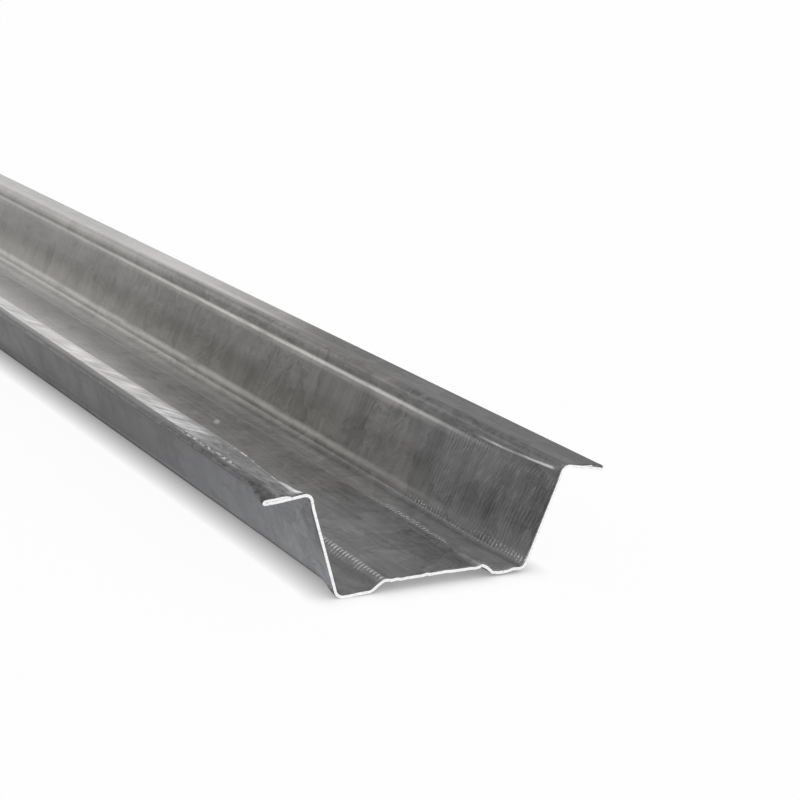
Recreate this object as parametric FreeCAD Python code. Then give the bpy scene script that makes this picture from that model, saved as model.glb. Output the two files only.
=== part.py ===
import FreeCAD, Part
import math
import os

# A hat channel: one long strip of galvanised sheet steel, roll formed into the section of a hat.
# It lies as it is stored, with its open side up. It runs along Y, the feet of its web rest on
# z = 0, and the origin is at the middle of the piece.

# Driving dimensions, in millimetres and degrees
length = 2438.0            # one stock length, 8 ft
sheet = 0.5                # thickness of the sheet
depth = 19.0               # from under the feet to the top of a flange, beside its hem
overall_width = 66.7       # outside the two hems
base_width = 37.2          # outside the two corners at the feet
wall_lean = 19.5           # how far a wall leans out, from upright
crease_drop = 2.7          # from the flange down to the crease in the wall
crease_turn = 4.0          # how much steeper the wall is above its crease
panel_width = 19.1         # the raised middle of the web, between its two steps
step_rise = 2.0            # how far the middle of the web stands above its feet
step_run = 2.4             # how far a step reaches sideways while it rises
hem_width = 5.0            # the strip of sheet folded back on top of a flange
hem_gap = 0.12             # air left inside the fold

# Bend radii, inside the bend
corner_radius = 1.3        # at the feet and at the flanges
step_radius = 0.8
crease_radius = 3.0


def rolled_profile():
    """Corners of half a section on the middle of the sheet, each with its bend radius."""
    half_sheet = sheet / 2
    lean = math.radians(wall_lean)
    upper_lean = math.radians(wall_lean - crease_turn)
    corner_set_in = half_sheet * (1 - math.sin(lean)) / math.cos(lean)
    foot_x = base_width / 2 - corner_set_in
    flange_z = depth - half_sheet
    crease_z = flange_z - crease_drop
    crease_x = foot_x + (crease_z - half_sheet) * math.tan(lean)
    flange_x = crease_x + crease_drop * math.tan(upper_lean)
    fold_radius = (sheet + hem_gap) / 2
    tip_x = overall_width / 2 - half_sheet
    hem_z = flange_z + 2 * fold_radius
    bend = corner_radius + half_sheet
    step_bend = step_radius + half_sheet
    return [
        (panel_width / 2, half_sheet + step_rise, step_bend),
        (panel_width / 2 + step_run, half_sheet, step_bend),
        (foot_x, half_sheet, bend),
        (crease_x, crease_z, crease_radius + half_sheet),
        (flange_x, flange_z, bend),
        (tip_x, flange_z, fold_radius),
        (tip_x, hem_z, fold_radius),
        (overall_width / 2 - hem_width, hem_z, 0.0),
    ]


def mirrored(corners):
    """The whole section from the left hem's edge to the right hem's edge."""
    left = [(-x, z, radius) for x, z, radius in reversed(corners)]
    return left + corners


def offset_point(point, direction, offset):
    """The point moved square to the direction, to its left where the offset is positive."""
    return FreeCAD.Vector(point.x - direction.z * offset, 0, point.z + direction.x * offset)


def side_edges(corners, offset):
    """Flats and bends of one face of the sheet, at the offset from its middle."""
    points = [FreeCAD.Vector(x, 0, z) for x, z, radius in corners]
    radii = [radius for x, z, radius in corners]
    edges = []
    start = points[0]
    for i in range(len(points) - 1):
        along = (points[i + 1] - points[i]).normalize()
        if i + 2 < len(points):
            onward = (points[i + 2] - points[i + 1]).normalize()
            turn = math.atan2(along.x * onward.z - along.z * onward.x, along.dot(onward))
            setback = radii[i + 1] * math.tan(abs(turn) / 2)
        else:
            turn = 0.0
            setback = 0.0
        end = points[i + 1] - along * setback
        if (end - start).dot(along) > 1e-6:
            flat = Part.LineSegment(offset_point(start, along, offset), offset_point(end, along, offset))
            edges.append(flat.toShape())
        if setback:
            radius = radii[i + 1]
            side = math.copysign(1.0, turn)
            centre = offset_point(end, along, side * radius)
            leave = points[i + 1] + onward * setback
            middle_direction = (along + onward).normalize()
            middle = offset_point(centre, middle_direction, -side * (radius - side * offset))
            arc = Part.Arc(offset_point(end, along, offset), middle, offset_point(leave, onward, offset))
            edges.append(arc.toShape())
            end = leave
        start = end
    return edges


def hat_channel():
    """The section of the folded sheet, drawn out to its length."""
    corners = mirrored(rolled_profile())
    outer = side_edges(corners, -sheet / 2)
    inner = side_edges(corners, sheet / 2)
    cut_left = Part.LineSegment(outer[0].Vertexes[0].Point, inner[0].Vertexes[0].Point).toShape()
    cut_right = Part.LineSegment(outer[-1].Vertexes[-1].Point, inner[-1].Vertexes[-1].Point).toShape()
    outline = Part.Wire(Part.__sortEdges__(outer + inner + [cut_left, cut_right]))
    solid = Part.Face(outline).extrude(FreeCAD.Vector(0, length, 0))
    solid.translate(FreeCAD.Vector(0, -length / 2, 0))
    return solid


os.makedirs("parts", exist_ok=True)
channel = hat_channel()
channel.exportStep("parts/hat_channel.step")
box = channel.BoundBox
print("hat_channel: solids", len(channel.Solids), "valid", channel.isValid(), "volume", round(channel.Volume, 1))
print("size", round(box.XLength, 3), round(box.YLength, 3), round(box.ZLength, 3))
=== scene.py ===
import math

import bmesh
import bpy
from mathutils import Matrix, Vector, noise


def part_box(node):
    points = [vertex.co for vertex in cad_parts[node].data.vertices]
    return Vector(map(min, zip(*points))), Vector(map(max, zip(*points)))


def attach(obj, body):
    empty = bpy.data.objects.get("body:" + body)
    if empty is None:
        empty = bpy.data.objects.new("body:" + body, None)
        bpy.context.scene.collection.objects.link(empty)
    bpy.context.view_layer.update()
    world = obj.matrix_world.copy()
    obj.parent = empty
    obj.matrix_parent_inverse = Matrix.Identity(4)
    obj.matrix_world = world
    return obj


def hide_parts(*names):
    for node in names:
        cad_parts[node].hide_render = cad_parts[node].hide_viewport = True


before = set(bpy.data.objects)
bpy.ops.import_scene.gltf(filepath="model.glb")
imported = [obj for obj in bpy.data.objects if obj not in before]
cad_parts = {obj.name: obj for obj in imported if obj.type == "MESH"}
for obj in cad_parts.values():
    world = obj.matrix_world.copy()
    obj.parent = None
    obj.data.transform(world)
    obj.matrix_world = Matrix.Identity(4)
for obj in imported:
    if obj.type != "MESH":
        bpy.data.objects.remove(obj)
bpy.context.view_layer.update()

# The channel is one strip of galvanised sheet, drawn flat off a coil and bent by pairs of rolls
# into the section of a hat, with the sheet folded back on itself along both flanges. Its middle
# line is laid out here, rounded at each bend, drawn along the length and given its thickness.
channel_low, channel_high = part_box("hat_channel")
sheet = 0.0005
depth = 0.019
half_base = 0.0186
wall_lean = math.radians(19.5)
upper_lean = math.radians(15.5)
crease_drop = 0.0027
half_panel = 0.00955
step_rise = 0.002
step_run = 0.0024
hem_width = 0.005
corner_bend = 0.00155
step_bend = 0.00105
crease_bend = 0.00325

half_width = channel_high.x
near_end = channel_low.y
far_end = channel_high.y
hem_z = channel_high.z - sheet / 2
flange_z = depth - sheet / 2
fold_bend = (hem_z - flange_z) / 2
foot_x = half_base - sheet / 2 * (1 - math.sin(wall_lean)) / math.cos(wall_lean)
foot_z = channel_low.z + sheet / 2
crease_z = flange_z - crease_drop
crease_x = foot_x + (crease_z - foot_z) * math.tan(wall_lean)
flange_x = crease_x + crease_drop * math.tan(upper_lean)
tip_x = half_width - sheet / 2

# Each corner has its place, the radius of its bend and the number of flats in that bend.
half_section = [
    (half_panel, foot_z + step_rise, step_bend, 5),
    (half_panel + step_run, foot_z, step_bend, 5),
    (foot_x, foot_z, corner_bend, 9),
    (crease_x, crease_z, crease_bend, 3),
    (flange_x, flange_z, corner_bend, 9),
    (tip_x, flange_z, fold_bend, 6),
    (tip_x, hem_z, fold_bend, 6),
    (half_width - hem_width, hem_z, 0, 0),
]
corners = [(Vector((-x, z)), bend, flats) for x, z, bend, flats in reversed(half_section)]
corners += [(Vector((x, z)), bend, flats) for x, z, bend, flats in half_section]

strip = bmesh.new()
corner_verts = [strip.verts.new((point.x, near_end, point.y)) for point, bend, flats in corners]
for before, after in zip(corner_verts, corner_verts[1:]):
    strip.edges.new((before, after))
kept_apart = 0.9999        # of a bend's setback, so that the two bends of a fold don't cross
same_point = 2e-6
for index in range(1, len(corners) - 1):
    here, bend, flats = corners[index]
    back = corners[index - 1][0] - here
    onward = corners[index + 1][0] - here
    setback = bend / math.tan(back.angle(onward) / 2)
    bmesh.ops.bevel(strip, geom=[corner_verts[index]], offset=setback * kept_apart, offset_type="OFFSET",
                    segments=flats, profile=0.5, affect="VERTICES", material=-1)
bmesh.ops.remove_doubles(strip, verts=strip.verts[:], dist=same_point)
widest_flat = 0.001
for edge in strip.edges[:]:
    cuts = int(edge.calc_length() / widest_flat)
    if cuts:
        bmesh.ops.subdivide_edges(strip, edges=[edge], cuts=cuts)

# Each point keeps its place across the flat strip, measured from the strip's middle.
across = strip.verts.layers.float.new("across")
path = [min((v for v in strip.verts if len(v.link_edges) == 1), key=lambda v: v.co.x)]
edge = path[0].link_edges[0]
while edge:
    path.append(edge.other_vert(path[-1]))
    path[-1][across] = path[-2][across] + edge.calc_length()
    edge = next((e for e in path[-1].link_edges if e is not edge), None)
half_strip = path[-1][across] / 2
for vert in path:
    vert[across] -= half_strip

# Rows of faces are short behind the cut and longer further back.
rows = [near_end]
row_length = 0.0008
row_growth = 1.05
longest_row = 0.03
while rows[-1] + row_length < far_end:
    rows.append(rows[-1] + row_length)
    row_length = min(row_length * row_growth, longest_row)
rows.append(far_end)
front = strip.edges[:]
for before, after in zip(rows, rows[1:]):
    made = bmesh.ops.extrude_edge_only(strip, edges=front)["geom"]
    moved = {v for v in made if isinstance(v, bmesh.types.BMVert)}
    front = [e for e in made if isinstance(e, bmesh.types.BMEdge) and all(v in moved for v in e.verts)]
    bmesh.ops.translate(strip, verts=list(moved), vec=(0, after - before, 0))


def order(verts):
    """Row by row, and from left to right in a row."""
    return sum(v.co.y * 1000 + v[across] for v in verts) / len(verts)


# The operators leave the mesh in an order that changes from run to run, so it gets a fixed one.
strip.verts.sort(key=lambda v: order([v]))
strip.edges.sort(key=lambda e: order(e.verts))
strip.faces.sort(key=lambda f: order(f.verts))


# Both flanges of the bar in hand are bent from their true level: the right one falls outwards
# and the left one rises. The shear that cut the bar to length pressed the left flange down,
# dented the bend behind the cut and pushed the right step and foot up. All is in millimetres.
def ease(stops, place):
    """A value between the stops, which are pairs of place and value, without corners."""
    for (start, low_value), (end, high_value) in zip(stops, stops[1:]):
        if place < end:
            share = max(0.0, (place - start) / (end - start))
            return low_value + (high_value - low_value) * share * share * (3 - 2 * share)
    return stops[-1][1]


def line(stops, place):
    """A value between the stops, along straight lines."""
    for (start, low_value), (end, high_value) in zip(stops, stops[1:]):
        if place < end:
            return low_value + (high_value - low_value) * max(0.0, (place - start) / (end - start))
    return stops[-1][1]


# How far a point goes up by its place outwards from the bend of its flange
right_fall = [(0, -0.1), (1.2, -0.2), (8.6, -1.4)]
right_press = [(3.6, -0.7), (8.0, -0.14)]
left_press = [(3.6, -0.5), (4.8, -0.17)]
shoulder = 5.9
tip = 8.6
bend_reach = 4.0
# How far the left side goes up by its place behind the cut, and its hem and foot corner inwards
left_bend = [(0, -0.25), (4.4, -0.9), (9.7, -1.25), (14.4, -1.0), (22, -0.3), (200, -0.25)]
left_shoulder = [(0, -1.0), (2, -0.8), (7, 0.05), (40, 0.1), (110, 0.42), (130, 0.6)]
left_tip = [(0, -1.2), (2, -1.0), (7, -0.2), (40, -0.15), (110, 0.25), (130, 0.5)]
left_tip_in = [(0, 0.1), (7, 0.65), (200, 0.75)]
left_opening = [(0.5, 0.0), (6, 1.0)]
opened_corner = -18.95
opening_reach = 2.6
opening_rise = 0.75
opening_in = 0.7
# How far a point goes up by its place across the web, and how fast that fades behind the cut
web_rise = [(-17.2, 0), (-14, 0.1), (-12.4, 0.2), (-10.8, 0.1), (-9.5, -0.05), (-8.5, -0.32), (-6, -0.3),
            (0, -0.15), (9, -0.2), (9.8, 0.3), (11, 0.65), (12.8, 0.55), (14.4, 0.25), (15.4, 0.3),
            (16.9, 0.7), (17.9, 0.7), (18.8, 0.5), (21, 0)]
shear_fade = [(0, 1), (4, 0.75), (14, 0)]
ragged_fade = [(0, 1), (1.8, 0)]
web_edge = half_base * 1000 - 1
# How far back a hem's folded layer is at the cut, out to where the fold starts
right_hem_back = 0.18
left_hem_back = 0.02
fold_start = 8.1
for vert in strip.verts:
    outward = (abs(vert.co.x) - flange_x) * 1000
    behind_cut = (vert.co.y - near_end) * 1000
    on_hem = min(1.0, max(0.0, (vert.co.z - flange_z) / (hem_z - flange_z)))
    in_wall = math.exp(-(outward / bend_reach) ** 2)
    up = 0.0
    if vert.co.x > 0:
        up += line(right_fall, outward) if outward > 0 else right_fall[0][1] * in_wall
        up += on_hem * line(right_press, outward)
    elif outward > 0:
        across_flange = [(0, ease(left_bend, behind_cut)), (shoulder, ease(left_shoulder, behind_cut)),
                         (tip, ease(left_tip, behind_cut))]
        pressed = ease([(1, 0), (8, 1)], behind_cut)
        press = (1 - pressed) * ease(left_press, outward) + pressed * line(right_press, outward)
        up += line(across_flange, outward) + on_hem * press
        vert.co.x += ease(left_tip_in, behind_cut) / 1000 * ease([(3, 0), (tip, 1)], outward)
    else:
        up += ease(left_bend, behind_cut) * in_wall
        from_corner = (vert[across] * 1000 - opened_corner) / opening_reach
        opened = ease(left_opening, behind_cut) * math.exp(-from_corner ** 2)
        up += opening_rise * opened
        vert.co.x += opening_in / 1000 * opened
    up += line(web_rise, vert[across] * 1000) * ease(shear_fade, behind_cut)
    if abs(vert.co.x) * 1000 < web_edge:
        ragged = noise.noise(vert.co * 900) * 0.16 + noise.noise(vert.co * 2500) * 0.08
        up += max(-0.05, ragged) * ease(ragged_fade, behind_cut)
    vert.co.z += up / 1000
    if behind_cut < 0.1 and on_hem > 0.5 and outward < fold_start:
        vert.co.y += (right_hem_back if vert.co.x > 0 else left_hem_back) / 1000

bmesh.ops.recalc_face_normals(strip, faces=strip.faces[:])
if sum(f.normal.z for f in strip.faces if abs(f.calc_center_median().x) < half_panel / 2) < 0:
    bmesh.ops.reverse_faces(strip, faces=strip.faces[:])
strip_mesh = bpy.data.meshes.new("rolled_channel")
strip.to_mesh(strip_mesh)
strip.free()
strip_mesh.polygons.foreach_set("use_smooth", [True] * len(strip_mesh.polygons))
channel = bpy.data.objects.new("rolled_channel", strip_mesh)
bpy.context.collection.objects.link(channel)
wall = channel.modifiers.new("sheet", "SOLIDIFY")
wall.thickness = sheet
wall.offset = 0
wall.use_even_offset = True
wall.use_rim = True
wall.material_offset = 0
wall.material_offset_rim = 1


class Wire:
    """A socket that takes arithmetic: an expression on it adds its Math nodes to the material."""

    def __init__(self, tree, socket=None):
        self.tree = tree
        self.socket = socket

    def node(self, kind, settings=(), values=(), output=0):
        """Add a node, with its settings first and then the values or links of its sockets."""
        added = self.tree.nodes.new("ShaderNode" + kind)
        for name, value in dict(settings).items():
            setattr(added, name, value)
        for name, value in dict(values).items():
            if isinstance(value, Wire):
                self.tree.links.new(value.socket, added.inputs[name])
            else:
                added.inputs[name].default_value = value
        return Wire(self.tree, added.outputs[output])

    def maths(self, operation, *others):
        """A Math node on this value, and on another where the operation takes two."""
        return self.node("Math", {"operation": operation}, dict(enumerate((self, *others))))

    def __add__(self, other):
        return self.maths("ADD", other)

    def __sub__(self, other):
        return self.maths("SUBTRACT", other)

    def __rsub__(self, other):
        return self.node("Math", {"operation": "SUBTRACT"}, {0: other, 1: self})

    def __mul__(self, other):
        return self.maths("MULTIPLY", other)

    __radd__ = __add__
    __rmul__ = __mul__

    def between(self, low, high):
        """0 below low, 1 above high and a smooth rise between them."""
        return self.node("MapRange", {"interpolation_type": "SMOOTHSTEP"}, {0: self, 1: low, 2: high})

    def until(self, low, high):
        """1 below low, 0 above high and a smooth fall between them."""
        return 1 - self.between(low, high)

    def band(self, centre, core, reach):
        """1 closer than core to the centre, 0 further than reach from it."""
        return (self - centre).maths("ABSOLUTE").until(core, reach)

    def span(self, low, high, fade=1.0):
        """1 from low to high, and 0 further than the fade outside them."""
        return self.between(low - fade, low) * self.until(high, high + fade)

    def wave(self, pitch):
        """A sine from -1 to 1."""
        return (self * (2 * math.pi / pitch)).maths("SINE")

    def part(self, index):
        """One of the three numbers of a vector."""
        return self.node("SeparateXYZ", values={0: self}, output=index)

    def scaled(self, factors):
        """A vector stretched by a factor for each direction."""
        return self.node("VectorMath", {"operation": "MULTIPLY"}, {0: self, 1: factors})

    def turned(self, angle, centre=(0, 0, 0)):
        """A vector turned about a line along Z."""
        return self.node("VectorRotate", {"rotation_type": "Z_AXIS"},
                         {"Vector": self, "Angle": angle, "Center": centre})

    def grey(self):
        """A colour without hue, as light as this value."""
        return self.node("CombineColor", values={0: self, 1: self, 2: self})

    def into(self, socket):
        """Link this value to a shader's socket."""
        self.tree.links.new(self.socket, socket)


def new_material(name):
    """A material with its Principled shader and a wire to add nodes with."""
    material = bpy.data.materials.new(name)
    material.use_nodes = True
    tree = material.node_tree
    return material, tree.nodes["Principled BSDF"], Wire(tree)


def grain(spot, stretch, detail=2.0, roughness=0.5, output="Fac"):
    """Noise with a stretch for each direction, in cycles a unit."""
    return spot.node("TexNoise", values={"Vector": spot.scaled(stretch), "Scale": 1.0, "Detail": detail,
                                         "Roughness": roughness}, output=output)


# Places on the flat strip are in millimetres: over is from its middle to the right, aside is
# from its middle to either side, and along is from the near end. Each face has its own marks.
zinc, shader, start = new_material("galvanised_zinc")
on_bar = start.node("TexCoord", output="Object")
along = (on_bar.part(1) - near_end) * 1000
over = start.node("Attribute", {"attribute_name": "across"}, output="Fac") * 1000
aside = over.maths("ABSOLUTE")
right = over.between(-1, 1)
left = 1 - right
upper = start.node("TexCoord", output="Normal").part(2).between(-0.05, 0.05)
under = 1 - upper
faces_apart = 9.0
spot = start.node("CombineXYZ", values={0: over, 1: along, 2: faces_apart * upper})

step_top = 9.5
step_foot = 13.9
foot_corner = 18.95
wall_start = 20.5
wall_crease = 35.3
flange_start = 38.9
fold = 46.5
hem_shoulder = 48.4

# Spangle: crystals of zinc a few millimetres wide, each with feathers in its own direction.
warp = grain(spot, (0.3, 0.3, 1), output="Color")
bent = start.node("VectorMath", {"operation": "MULTIPLY_ADD"}, {0: warp, 1: (5, 5, 0), 2: spot})
crystal = start.node("TexVoronoi", values={"Vector": bent, "Scale": 0.15}, output="Color")
shade, turn = (start.node("SeparateColor", values={0: crystal}, output=index) for index in range(2))
feather = grain(bent.turned(turn * math.pi), (0.95, 0.14, 1), 3, 0.6)
cloud = grain(spot, (0.14, 0.11, 1))
patch = grain(spot, (0.05, 0.04, 1), 1)
rolled = grain(spot, (1.1, 0.018, 1), 3, 0.65)
streak = grain(spot, (0.06, 0.8, 1), 3, 0.65)
column = grain(spot, (0.05, 0.22, 1), 2, 0.6)
fine = grain(spot, (2.6, 2.6, 1))

# Marks of the rolls: chatter across the walls, knurling on the bends and rungs down the steps.
sway = grain(spot, (0.2, 0.1, 1), 1)
broken = grain(spot, (0.35, 0.3, 1))
torn = grain(spot, (0.9, 0.4, 1))
worn = grain(spot, (0.5, 0.05, 1), 3, 0.6)
creased = grain(spot, (0.75, 0.16, 1), 4, 0.7)
chatter_pitch = 0.95
rung_pitch = 1.0
dash_pitch = 1.8
ripple = (along + 0.1 * over + 1.5 * sway).wave(chatter_pitch)
near = along.until(20, 45)
near_right = near * right
on_wall = aside.between(wall_start, 22.5) * aside.until(33, 35)
marked_wall = aside.between(wall_start, 22.5) * aside.until(35.6, 36.4)
chatter = marked_wall * (0.12 + 0.88 * near_right) * patch.between(0.3, 0.5) * broken.between(0.35, 0.55)
chatter = chatter * (0.5 + 0.5 * torn.between(0.35, 0.6)) * (1 - 0.4 * aside.span(19, 25, 3))
scuffs = grain(spot.turned(0.35), (0.3, 1.7, 1), 3, 0.6).between(0.5, 0.68)
scuffs = scuffs * aside.span(28, 35, 3) * near_right
beads = ripple.between(0.0, 0.9) * fine.between(0.42, 0.62)
foot_bend = aside.band(foot_corner, 0.6, 1.4)
# A painted highlight lies along the bend from the foot into the wall.
foot_highlight = aside.band(21.2, 0.1, 1.1)
foot_dots = aside.band(wall_start, 0.3, 0.95) * along.until(34, 42)
foot_dots = foot_dots + 0.35 * aside.band(19.5, 0.1, 0.5) * along.until(40, 60)
foot_dots = foot_dots * worn.between(0.4, 0.6).maths("MAXIMUM", 0.8 * along.until(10, 20))
step_ridge = aside.band(step_top, 0.15, 0.6)
step_root = aside.band(step_foot, 0.3, 1.1)
step_face = aside.span(9.8, 10.6, 0.7) * near * left
rungs = (along + 0.64 * cloud).wave(rung_pitch).between(0.5, 1)
rung_tops = rungs * aside.band(9.7, 0.2, 0.5) * near * left
dashes = along.wave(dash_pitch).between(-0.1, 0.8)

# Painted highlights run along the wall's crease and along the edge of the flange's bend.
crease_highlight = aside.band(wall_crease, 0.15, 0.6) + 0.35 * aside.band(34.9, 0.3, 1.3)
crease_highlight = crease_highlight * along.between(12, 60) * (0.5 + 0.5 * worn.between(0.3, 0.5))
crease_highlight = crease_highlight * (1 - 0.6 * along.between(110, 230))
drift = along.until(-8, 22)
bend_highlight = (aside - 1.1 * drift).band(36.4, 0.08, 0.32)
bend_highlight = bend_highlight * along.until(18, 27) * along.between(1.5, 3) * (0.4 + 0.6 * worn.between(0.35, 0.55))
bend_start = aside.band(flange_start, 0.1, 0.35)

# The outer roll of each hem is dull, and painted shade darkens it. The tops of the flanges get a
# painted sheen further back, and the left one has painted glints along its shoulder and a painted highlight
# in its dent.
hem_fold = aside.band(fold, 0.6, 1.1)
hem_top = aside.between(46.6, 47.2)
outer_roll = aside.between(44, 45) * aside.until(48.6, 49.0)
flange_top = upper * aside.between(38.5, 40.5)
slanted = on_bar.turned(-math.radians(31))
slant = grain(slanted, (550, 60, 1), 3, 0.65)
blotch = grain(slanted, (210, 70, 1), 2, 0.6)
# A painted highlight along the dent behind the cut, and painted glints along the left hem's shoulder.
dent_start = along.between(0.5, 2) * left
dent_highlight = aside.band(39.1, 0.08, 0.4) * along.until(22, 30) * dent_start
dent_highlight = dent_highlight * (0.15 + 0.85 * along.until(7, 10).maths("MAXIMUM", torn.between(0.52, 0.6)))
dent_highlight = dent_highlight + 0.8 * aside.band(39.5, 0.2, 0.7) * along.until(6, 9) * dent_start
shoulder_glints = aside.band(hem_shoulder, 0.2, 0.8) * along.between(10, 18) * along.until(30, 38) * left
shoulder_glints = shoulder_glints * grain(spot, (1.2, 0.9, 1)).between(0.46, 0.58)
mottled = upper * left * aside.between(39, 40.5) * (torn + 0.7 * fine + 0.8 * worn - 1.25)
mottled = mottled * along.until(35, 60) * (1 - 0.5 * outer_roll)
# Where the painted sheen lies on the flange tops, and its strength on the left one, streaked and blotched.
left_top = flange_top * left * along.between(26, 36) * (1 - outer_roll)
right_top = flange_top * right
flange_sheen = 0.4 - 0.08 * along.between(50, 75) - 0.16 * along.between(75, 115)
flange_sheen = flange_sheen + 2.4 * (slant - 0.5) * (1 - 0.6 * along.between(55, 110)) + 1.5 * (blotch - 0.5)

# The zinc is a dull grey, cloudy and streaked. Painted sheen makes it paler low on the walls, more so further
# back.
far_fade = along.between(300, 700)
light = 0.17 + 0.13 * (cloud - 0.5) + 0.07 * (shade - 0.5) + 0.3 * (feather - 0.5) * patch.between(0.3, 0.5)
light = light + (0.2 * (rolled - 0.5) + 0.26 * (creased - 0.5)) * (1 - 0.75 * on_wall) * (1 - 0.35 * near)
light = light + (0.14 * (streak - 0.5) + 0.16 * (column - 0.5)) * on_wall + 0.1 * (fine - 0.5) * near
# Painted light low on the walls and at the foot corner, growing further back.
light = light + 0.09 * aside.until(20, 30) * aside.between(17.5, 19.5)
low_wall = upper * aside.until(23.5, 29.5) * aside.between(18.5, 20)
light = light + (0.045 + 0.17 * along.between(110, 260) * (1 - 0.8 * far_fade)) * low_wall
light = light - 0.025 * aside.span(31, 35)
light = light + 0.095 * ripple * chatter + 0.9 * beads * foot_dots + 0.1 * scuffs
# The painted highlight along the bend from the foot into the wall.
light = light + 0.38 * foot_highlight * along.between(10, 85) * (0.4 + 0.6 * worn.between(0.3, 0.5))
# A painted highlight on the right bend far back, and painted sheen on the foot further back.
light = light + 0.16 * aside.span(37, 39) * along.between(135, 200) * right
far_foot = aside.until(19, 27) * aside.between(14, 18) * along.between(70, 170)
light = light + 0.12 * far_foot * (1 - 0.5 * far_fade)
light = light + 0.09 * aside.span(10, 17.5, 1.5) * along.until(60, 95) * right
root_dots = step_root * worn.between(0.4, 0.56) * along.until(30, 52) * right
light = light + (0.05 + 1.3 * beads) * root_dots
panel_dots = aside.band(7.8, 0.2, 0.9) * worn.between(0.45, 0.6) * along.span(14, 38, 8) * right
light = light + 0.5 * beads * panel_dots
light = light + (0.04 + 0.1 * dashes * worn.between(0.45, 0.6)) * step_ridge * near
light = light + (0.05 + 0.3 * rungs * broken.between(0.42, 0.58)) * step_face + 0.5 * rung_tops
# The right wall's crease and bend get their painted highlights.
light = light + 0.45 * crease_highlight * right + 0.7 * bend_highlight * right
# Painted sheen, highlight and glints go onto the left flange, with its mottled tone.
light = light + left_top * flange_sheen + 0.9 * dent_highlight + 0.9 * shoulder_glints + 0.55 * mottled
# Painted sheen on the right flange's top from about 100 mm behind the cut, fading again beyond 160 mm.
light = light + right_top * (0.4 * along.between(92, 120) - 0.05 * along.between(60, 80))
light = light - right_top * 0.36 * along.between(160, 225)

# One bright speck lies on the web: an oval, turned from the length of the bar.
speck_across = 3.4
speck_along = 88.9
speck_shape = (1, 0.4, 1)
near_speck = spot.turned(math.radians(28), (speck_across, speck_along, faces_apart)).scaled(speck_shape)
speck_middle = (speck_across, speck_along * speck_shape[1], faces_apart)
from_speck = start.node("VectorMath", {"operation": "DISTANCE"}, {0: near_speck, 1: speck_middle}, "Value")
light = light + 0.4 * from_speck.until(0.3, 0.9)

# Painted shade and light: it is darker on the underside away from the cut and lighter close to it, darker in
# the bends and where a fold shades it.
light = light * (0.4 + 0.6 * upper + 0.85 * under * along.until(-15, 85))
light = light * (1 - 0.7 * under * aside.until(19, 28) * along.between(60, 140))
light = light * (1 - 0.75 * under * aside.until(19.5, 22) * aside.between(17, 18))
light = light * (1 - 0.5 * aside.band(46.25, 0.15, 0.45) * left * along.until(55, 85))
light = light * (1 - 0.2 * right * aside.span(39.5, 44)) * (1 - 0.1 * right * aside.between(44, 45) * near)
light = light * (1 - (0.3 + 0.5 * along.between(35, 75)) * outer_roll * hem_top * left)
light = light * (1 - 0.3 * hem_fold * left) * (1 - 0.15 * hem_top * right * upper)
light = light * (1 - 0.35 * foot_bend * upper * (1 - 0.8 * along.between(50, 120))) * (1 - 0.2 * bend_start)
warm = upper * (0.4 + 0.6 * along.between(15, 90))
tint = warm * light.maths("MINIMUM", 0.5)
colour = start.node("CombineColor", values={0: light * 0.985 + 0.055 * tint, 1: light,
                                            2: light * 1.05 - 0.11 * tint})
colour.into(shader.inputs["Base Color"])
gloss = 0.42 + 0.2 * (cloud - 0.5) + 0.25 * (feather - 0.5) + 0.15 * (rolled - 0.5)
gloss.into(shader.inputs["Roughness"])

# The zinc's own sheen is a coat, which is worn off the underside and the dull parts of the hems.
covered = 0.12 + 0.88 * upper - 0.3 * (streak - 0.5) - 0.5 * (column - 0.5) * on_wall
covered = covered * (1 - 0.3 * hem_fold)
covered = covered * (1 - under * aside.until(19, 28) * along.between(40, 100))
covered = covered * (1 - 0.5 * outer_roll * hem_top * left - 0.2 * hem_top * right - 0.4 * foot_bend)
covered = covered * (1 - 0.25 * right * aside.span(39.5, 44)) * (1 - 0.25 * hem_fold * left)
covered.into(shader.inputs["Coat Weight"])
bumps = 0.016 * cloud + 0.007 * rolled + 0.01 * feather + 0.006 * ripple * chatter + 0.006 * beads * foot_bend
bumps = bumps + 0.01 * rungs * step_face + 0.004 * fine + 0.01 * creased * (1 - on_wall)
relief = start.node("Bump", values={"Strength": 1.0, "Distance": 0.001, "Height": bumps})
relief.into(shader.inputs["Normal"])
(0.2 + 0.55 * upper).into(shader.inputs["Metallic"])
shader.inputs["Specular IOR Level"].default_value = 0.15
shader.inputs["Coat Roughness"].default_value = 0.16

# The shear leaves bare bright steel on the near end, torn in places. The far end, the hems'
# edges along the bar and the right hem's pressed layer have the zinc.
cut, shader, start = new_material("cut_steel")
tear = grain(start.node("TexCoord", output="Object"), (1800, 1800, 4000))
shine = 0.72 + 0.25 * tear.between(0.3, 0.5)
shine.grey().into(shader.inputs["Base Color"])
shader.inputs["Roughness"].default_value = 0.5
for material in (zinc, cut):
    channel.data.materials.append(material)
with_thickness = channel.evaluated_get(bpy.context.evaluated_depsgraph_get())
sheet_mesh = bpy.data.meshes.new_from_object(with_thickness)
channel.modifiers.clear()
channel.data = sheet_mesh
hem_start = 3
between_layers = 0.22
for face in sheet_mesh.polygons:
    face.use_smooth = face.material_index == 0
    middle = face.center
    outward = (middle.x - flange_x) * 1000
    hem_level = flange_z + (line(right_fall, outward) + between_layers) / 1000
    dull_hem = outward > hem_start and middle.z > hem_level
    if face.material_index == 1 and (abs(face.normal.y) < 0.5 or middle.y > 0 or dull_hem):
        face.material_index = 0
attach(channel, "root")
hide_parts("hat_channel")

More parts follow.
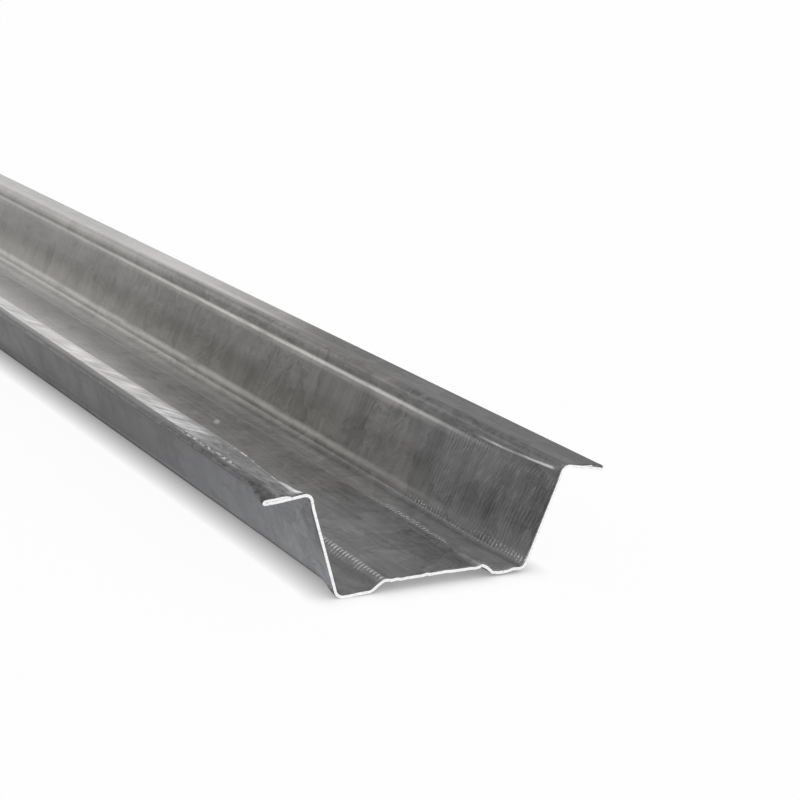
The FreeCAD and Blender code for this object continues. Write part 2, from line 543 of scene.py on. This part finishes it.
# The floor is white paper, wide enough to fill every view. It glows white in the camera and in
# the metal, and a little less close to the channel, where the contact shadow is.
floor_bm = bmesh.new()
bmesh.ops.create_grid(floor_bm, x_segments=1, y_segments=1, size=40)
floor_mesh = bpy.data.meshes.new("floor")
floor_bm.to_mesh(floor_mesh)
floor_bm.free()
floor = bpy.data.objects.new("floor", floor_mesh)
bpy.context.collection.objects.link(floor)
paper, shader, start = new_material("paper")
shader.inputs["Base Color"].default_value = (0.9, 0.9, 0.9, 1)
shader.inputs["Roughness"].default_value = 0.9
seen = start.node("LightPath", output="Is Camera Ray")
for ray in ("Is Glossy Ray", "Is Transmission Ray"):
    seen = seen.maths("MAXIMUM", start.node("LightPath", output=ray))
open_air = start.node("AmbientOcclusion", {"samples": 4}, {"Distance": 0.005}, output="AO")
open_air = 0.25 + 0.75 * open_air
glow = start.node("Emission", values={0: open_air.grey()})
surface = start.node("MixShader", values={0: seen * 0.96, 1: Wire(start.tree, shader.outputs[0]), 2: glow})
surface.into(start.tree.nodes["Material Output"].inputs["Surface"])
floor.data.materials.append(paper)

# The studio has a white panel low behind the far end, another behind the camera, grey sides
# and a paler ceiling.
world = bpy.data.worlds.new("studio")
bpy.context.scene.world = world
world.use_nodes = True
start = Wire(world.node_tree)
toward = start.node("TexCoord")
side, ahead, height = (toward.part(index) for index in range(3))
bearing = side.maths("ARCTAN2", ahead) * (180 / math.pi)
panel_edge = bearing + 30 * height
far_panel = panel_edge.until(31, 35) * bearing.between(-54, -26) * height.until(0.3, 0.6)
near_panel = (0 - ahead).between(0.1, 0.7) * height.until(0.7, 0.95)
level = 0.3 + 0.15 * height.between(0.05, 0.3) + 0.4 * height.between(0.6, 1.0)
level = level + 0.75 * far_panel + 0.95 * near_panel
level.grey().into(world.node_tree.nodes["Background"].inputs["Color"])

# The camera is in front of the near end, above it and to its left, and looks along the bar.
camera_data = bpy.data.cameras.new("camera")
camera_data.lens = 81.59
camera_data.clip_start = 0.01
camera_data.clip_end = 100
camera = bpy.data.objects.new("camera", camera_data)
bpy.context.collection.objects.link(camera)
camera.location = (-0.16127, near_end - 0.23332, 0.10824)
camera.rotation_euler = [math.radians(angle) for angle in (74.7696, -4.9751, -31.641)]
bpy.context.scene.camera = camera
bpy.context.scene.view_settings.view_transform = "Standard"
